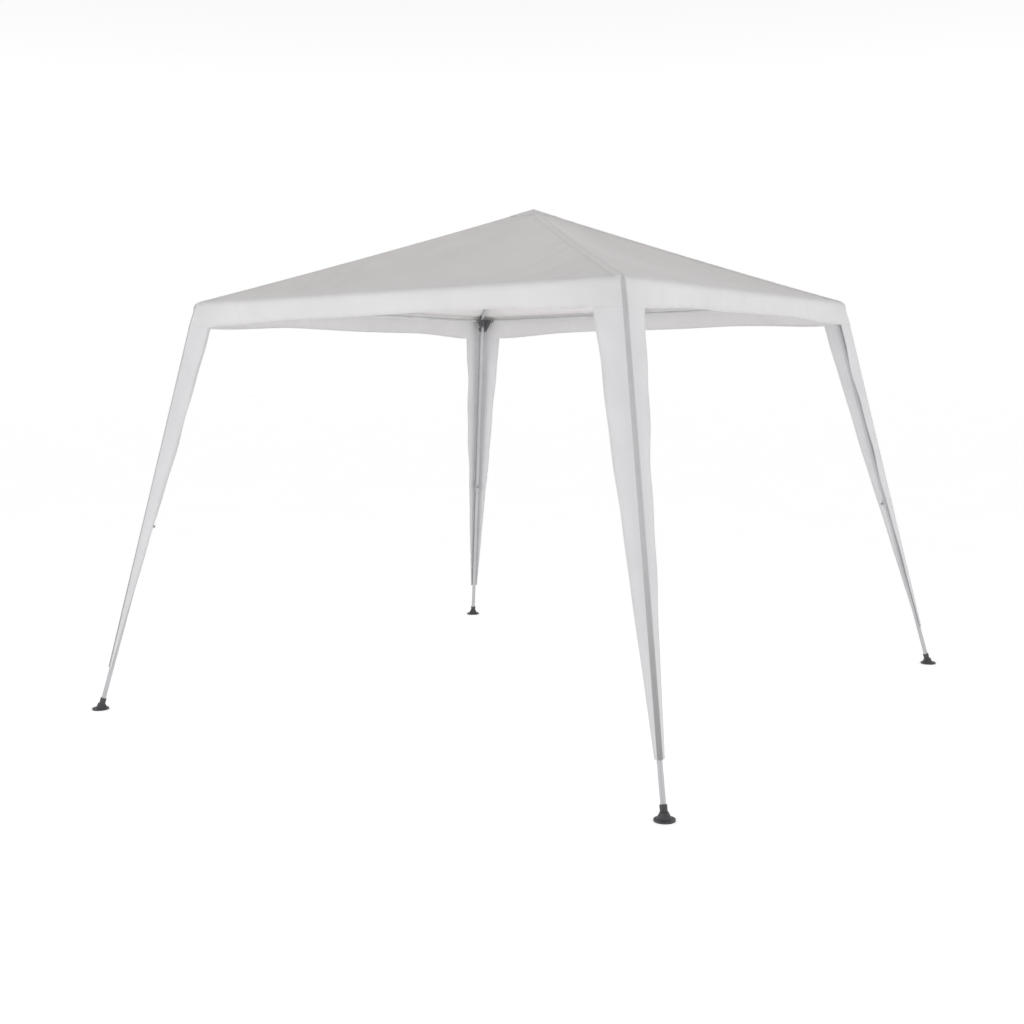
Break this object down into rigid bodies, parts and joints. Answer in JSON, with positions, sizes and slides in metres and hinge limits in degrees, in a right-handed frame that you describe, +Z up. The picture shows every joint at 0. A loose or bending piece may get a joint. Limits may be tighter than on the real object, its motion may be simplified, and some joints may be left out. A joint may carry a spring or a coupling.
{
  "type": "folding gazebo",
  "caption": "Slant-leg folding gazebo: square pyramid canopy with a short valance, splayed telescopic legs with V-shaped fabric covers, hinged eave bars and rafters, round foot pads.",
  "frame": {"origin": "on the ground under the peak", "axes": "+Z up, +X to the right side, -Y towards the front side"},
  "size_m": [3.211, 3.211, 2.455],
  "materials": {
    "hub_plastic": "moulded, satin",
    "bracket_plastic": "moulded, satin",
    "steel_tube": "powder coated, satin",
    "zinc_rivet": "zinc plated",
    "black_plastic": "moulded, fine texture",
    "grey_plastic": "moulded, satin",
    "button_plastic": "moulded",
    "roof_fabric": "coated woven sheet",
    "valance_fabric": "coated woven sheet",
    "cover_fabric": "coated woven sheet"
  },
  "bodies": {
    "hub": {"center_hub": "hub_plastic", "peak_dome": "hub_plastic", "hub_pins": "zinc_rivet"},
    "canopy": {"canopy_roof": "roof_fabric", "canopy_valance": "valance_fabric"},
    "rafter_inner_back_right": {"rafter_inner_back_right": "steel_tube", "rafter_knuckle_back_right": "zinc_rivet"},
    "rafter_outer_back_right": {"rafter_outer_back_right": "steel_tube"},
    "bracket_back_right": {"corner_bracket_back_right": "bracket_plastic", "corner_pins_back_right": "zinc_rivet"},
    "leg_upper_back_right": {"leg_upper_back_right": "steel_tube", "leg_collar_back_right": "grey_plastic", "leg_cover_back_right": "cover_fabric"},
    "lock_button_back_right": {"lock_button_back_right": "button_plastic"},
    "leg_lower_back_right": {"leg_lower_back_right": "steel_tube", "foot_back_right": "black_plastic"},
    "eave_bar_back_right": {"eave_bar_back_right": "steel_tube"},
    "eave_bar_right_back": {"eave_bar_right_back": "steel_tube"},
    "rafter_inner_back_left": {"rafter_inner_back_left": "steel_tube", "rafter_knuckle_back_left": "zinc_rivet"},
    "rafter_outer_back_left": {"rafter_outer_back_left": "steel_tube"},
    "bracket_back_left": {"corner_bracket_back_left": "bracket_plastic", "corner_pins_back_left": "zinc_rivet"},
    "leg_upper_back_left": {"leg_upper_back_left": "steel_tube", "leg_collar_back_left": "grey_plastic", "leg_cover_back_left": "cover_fabric"},
    "lock_button_back_left": {"lock_button_back_left": "button_plastic"},
    "leg_lower_back_left": {"leg_lower_back_left": "steel_tube", "foot_back_left": "black_plastic"},
    "eave_bar_left_back": {"eave_bar_left_back": "steel_tube"},
    "eave_bar_back_left": {"eave_bar_back_left": "steel_tube"},
    "rafter_inner_front_left": {"rafter_inner_front_left": "steel_tube", "rafter_knuckle_front_left": "zinc_rivet"},
    "rafter_outer_front_left": {"rafter_outer_front_left": "steel_tube"},
    "bracket_front_left": {"corner_bracket_front_left": "bracket_plastic", "corner_pins_front_left": "zinc_rivet"},
    "leg_upper_front_left": {"leg_upper_front_left": "steel_tube", "leg_collar_front_left": "grey_plastic", "leg_cover_front_left": "cover_fabric"},
    "lock_button_front_left": {"lock_button_front_left": "button_plastic"},
    "leg_lower_front_left": {"leg_lower_front_left": "steel_tube", "foot_front_left": "black_plastic"},
    "eave_bar_front_left": {"eave_bar_front_left": "steel_tube"},
    "eave_bar_left_front": {"eave_bar_left_front": "steel_tube"},
    "rafter_inner_front_right": {"rafter_inner_front_right": "steel_tube", "rafter_knuckle_front_right": "zinc_rivet"},
    "rafter_outer_front_right": {"rafter_outer_front_right": "steel_tube"},
    "bracket_front_right": {"corner_bracket_front_right": "bracket_plastic", "corner_pins_front_right": "zinc_rivet"},
    "leg_upper_front_right": {"leg_upper_front_right": "steel_tube", "leg_collar_front_right": "grey_plastic", "leg_cover_front_right": "cover_fabric"},
    "lock_button_front_right": {"lock_button_front_right": "button_plastic"},
    "leg_lower_front_right": {"leg_lower_front_right": "steel_tube", "foot_front_right": "black_plastic"},
    "eave_bar_right_front": {"eave_bar_right_front": "steel_tube"},
    "eave_bar_front_right": {"eave_bar_front_right": "steel_tube"}
  },
  "joints": [
    {"name": "canopy_lift_off", "type": "slide", "parent": "hub", "child": "canopy", "axis": [0, 0, 1], "range_m": [0, 0.6]},
    {"name": "frame_fold", "type": "hinge", "parent": "hub", "child": "rafter_inner_back_right", "pos_m": [0.04525, 0.03253, 2.41577], "axis": [-0.7071, 0.7071, 0], "range_deg": [0, 70.52]},
    {"name": "knuckle_hinge_back_right", "type": "hinge", "parent": "rafter_inner_back_right", "child": "rafter_outer_back_right", "pos_m": [0.67949, 0.67949, 2.16487], "axis": [0.7071, -0.7071, 0], "range_deg": [0, 172.02]},
    {"name": "bracket_hinge_back_right", "type": "hinge", "parent": "rafter_outer_back_right", "child": "bracket_back_right", "pos_m": [1.11828, 1.13101, 1.99051], "axis": [-0.7071, 0.7071, 0], "range_deg": [0, 101.5]},
    {"name": "leg_hinge_back_right", "type": "hinge", "parent": "bracket_back_right", "child": "leg_upper_back_right", "pos_m": [1.16, 1.16, 1.925], "axis": [-0.7071, 0.7071, 0], "range_deg": [0, 16.57]},
    {"name": "leg_slide_back_right", "type": "slide", "parent": "leg_upper_back_right", "child": "leg_lower_back_right", "axis": [-0.2017, -0.2017, 0.9585], "range_m": [0, 0.75], "deforming": ["leg_cover_back_right"]},
    {"name": "button_press_back_right", "type": "slide", "parent": "leg_upper_back_right", "child": "lock_button_back_right", "axis": [0.6777, 0.6777, 0.2852], "range_m": [0, 0.0043], "stiffness_N_per_m": 800, "springref_m": -0.003},
    {"name": "eave_hinge_back_right", "type": "hinge", "parent": "bracket_back_right", "child": "eave_bar_back_right", "pos_m": [1.08575, 1.1516, 1.974], "axis": [0, -1, 0], "range_deg": [0, 85.87]},
    {"name": "eave_hinge_right_back", "type": "hinge", "parent": "bracket_back_right", "child": "eave_bar_right_back", "pos_m": [1.1684, 1.08575, 1.974], "axis": [1, 0, 0], "range_deg": [0, 85.87]},
    {"name": "inner_hinge_back_left", "type": "hinge", "parent": "hub", "child": "rafter_inner_back_left", "pos_m": [-0.03253, 0.04525, 2.41577], "axis": [-0.7071, -0.7071, 0], "range_deg": [0, 70.54]},
    {"name": "knuckle_hinge_back_left", "type": "hinge", "parent": "rafter_inner_back_left", "child": "rafter_outer_back_left", "pos_m": [-0.67949, 0.67949, 2.16487], "axis": [0.7071, 0.7071, 0], "range_deg": [0, 172.02]},
    {"name": "bracket_hinge_back_left", "type": "hinge", "parent": "rafter_outer_back_left", "child": "bracket_back_left", "pos_m": [-1.13101, 1.11828, 1.99051], "axis": [-0.7071, -0.7071, 0], "range_deg": [0, 101.5]},
    {"name": "leg_hinge_back_left", "type": "hinge", "parent": "bracket_back_left", "child": "leg_upper_back_left", "pos_m": [-1.16, 1.16, 1.925], "axis": [-0.7071, -0.7071, 0], "range_deg": [0, 16.57]},
    {"name": "leg_slide_back_left", "type": "slide", "parent": "leg_upper_back_left", "child": "leg_lower_back_left", "axis": [0.2017, -0.2017, 0.9585], "range_m": [0, 0.75], "deforming": ["leg_cover_back_left"]},
    {"name": "button_press_back_left", "type": "slide", "parent": "leg_upper_back_left", "child": "lock_button_back_left", "axis": [-0.6777, 0.6777, 0.2852], "range_m": [0, 0.0043], "stiffness_N_per_m": 800, "springref_m": -0.003},
    {"name": "eave_hinge_left_back", "type": "hinge", "parent": "bracket_back_left", "child": "eave_bar_left_back", "pos_m": [-1.1516, 1.08575, 1.974], "axis": [1, 0, 0], "range_deg": [0, 85.87]},
    {"name": "eave_hinge_back_left", "type": "hinge", "parent": "bracket_back_left", "child": "eave_bar_back_left", "pos_m": [-1.08575, 1.1684, 1.974], "axis": [0, 1, 0], "range_deg": [0, 85.87]},
    {"name": "inner_hinge_front_left", "type": "hinge", "parent": "hub", "child": "rafter_inner_front_left", "pos_m": [-0.04525, -0.03253, 2.41577], "axis": [0.7071, -0.7071, 0], "range_deg": [0, 70.54]},
    {"name": "knuckle_hinge_front_left", "type": "hinge", "parent": "rafter_inner_front_left", "child": "rafter_outer_front_left", "pos_m": [-0.67949, -0.67949, 2.16487], "axis": [-0.7071, 0.7071, 0], "range_deg": [0, 172.02]},
    {"name": "bracket_hinge_front_left", "type": "hinge", "parent": "rafter_outer_front_left", "child": "bracket_front_left", "pos_m": [-1.11828, -1.13101, 1.99051], "axis": [0.7071, -0.7071, 0], "range_deg": [0, 101.5]},
    {"name": "leg_hinge_front_left", "type": "hinge", "parent": "bracket_front_left", "child": "leg_upper_front_left", "pos_m": [-1.16, -1.16, 1.925], "axis": [0.7071, -0.7071, 0], "range_deg": [0, 16.57]},
    {"name": "leg_slide_front_left", "type": "slide", "parent": "leg_upper_front_left", "child": "leg_lower_front_left", "axis": [0.2017, 0.2017, 0.9585], "range_m": [0, 0.75], "deforming": ["leg_cover_front_left"]},
    {"name": "button_press_front_left", "type": "slide", "parent": "leg_upper_front_left", "child": "lock_button_front_left", "axis": [-0.6777, -0.6777, 0.2852], "range_m": [0, 0.0043], "stiffness_N_per_m": 800, "springref_m": -0.003},
    {"name": "eave_hinge_front_left", "type": "hinge", "parent": "bracket_front_left", "child": "eave_bar_front_left", "pos_m": [-1.08575, -1.1516, 1.974], "axis": [0, 1, 0], "range_deg": [0, 85.87]},
    {"name": "eave_hinge_left_front", "type": "hinge", "parent": "bracket_front_left", "child": "eave_bar_left_front", "pos_m": [-1.1684, -1.08575, 1.974], "axis": [-1, 0, 0], "range_deg": [0, 85.87]},
    {"name": "inner_hinge_front_right", "type": "hinge", "parent": "hub", "child": "rafter_inner_front_right", "pos_m": [0.03253, -0.04525, 2.41577], "axis": [0.7071, 0.7071, 0], "range_deg": [0, 70.54]},
    {"name": "knuckle_hinge_front_right", "type": "hinge", "parent": "rafter_inner_front_right", "child": "rafter_outer_front_right", "pos_m": [0.67949, -0.67949, 2.16487], "axis": [-0.7071, -0.7071, 0], "range_deg": [0, 172.02]},
    {"name": "bracket_hinge_front_right", "type": "hinge", "parent": "rafter_outer_front_right", "child": "bracket_front_right", "pos_m": [1.13101, -1.11828, 1.99051], "axis": [0.7071, 0.7071, 0], "range_deg": [0, 101.5]},
    {"name": "leg_hinge_front_right", "type": "hinge", "parent": "bracket_front_right", "child": "leg_upper_front_right", "pos_m": [1.16, -1.16, 1.925], "axis": [0.7071, 0.7071, 0], "range_deg": [0, 16.57]},
    {"name": "leg_slide_front_right", "type": "slide", "parent": "leg_upper_front_right", "child": "leg_lower_front_right", "axis": [-0.2017, 0.2017, 0.9585], "range_m": [0, 0.75], "deforming": ["leg_cover_front_right"]},
    {"name": "button_press_front_right", "type": "slide", "parent": "leg_upper_front_right", "child": "lock_button_front_right", "axis": [0.6777, -0.6777, 0.2852], "range_m": [0, 0.0043], "stiffness_N_per_m": 800, "springref_m": -0.003},
    {"name": "eave_hinge_right_front", "type": "hinge", "parent": "bracket_front_right", "child": "eave_bar_right_front", "pos_m": [1.1516, -1.08575, 1.974], "axis": [-1, 0, 0], "range_deg": [0, 85.87]},
    {"name": "eave_hinge_front_right", "type": "hinge", "parent": "bracket_front_right", "child": "eave_bar_front_right", "pos_m": [1.08575, -1.1684, 1.974], "axis": [0, -1, 0], "range_deg": [0, 85.87]}
  ],
  "couplings": [
    {"joint": "knuckle_hinge_back_right", "follows": "frame_fold", "ratio": 2.439},
    {"joint": "bracket_hinge_back_right", "follows": "frame_fold", "ratio": 1.439},
    {"joint": "eave_hinge_back_right", "follows": "frame_fold", "ratio": 1.2174},
    {"joint": "eave_hinge_right_back", "follows": "frame_fold", "ratio": 1.2174},
    {"joint": "inner_hinge_back_left", "follows": "frame_fold", "ratio": 1},
    {"joint": "knuckle_hinge_back_left", "follows": "frame_fold", "ratio": 2.439},
    {"joint": "bracket_hinge_back_left", "follows": "frame_fold", "ratio": 1.439},
    {"joint": "eave_hinge_left_back", "follows": "frame_fold", "ratio": 1.2174},
    {"joint": "eave_hinge_back_left", "follows": "frame_fold", "ratio": 1.2174},
    {"joint": "inner_hinge_front_left", "follows": "frame_fold", "ratio": 1},
    {"joint": "knuckle_hinge_front_left", "follows": "frame_fold", "ratio": 2.439},
    {"joint": "bracket_hinge_front_left", "follows": "frame_fold", "ratio": 1.439},
    {"joint": "eave_hinge_front_left", "follows": "frame_fold", "ratio": 1.2174},
    {"joint": "eave_hinge_left_front", "follows": "frame_fold", "ratio": 1.2174},
    {"joint": "inner_hinge_front_right", "follows": "frame_fold", "ratio": 1},
    {"joint": "knuckle_hinge_front_right", "follows": "frame_fold", "ratio": 2.439},
    {"joint": "bracket_hinge_front_right", "follows": "frame_fold", "ratio": 1.439},
    {"joint": "eave_hinge_right_front", "follows": "frame_fold", "ratio": 1.2174},
    {"joint": "eave_hinge_front_right", "follows": "frame_fold", "ratio": 1.2174}
  ]
}
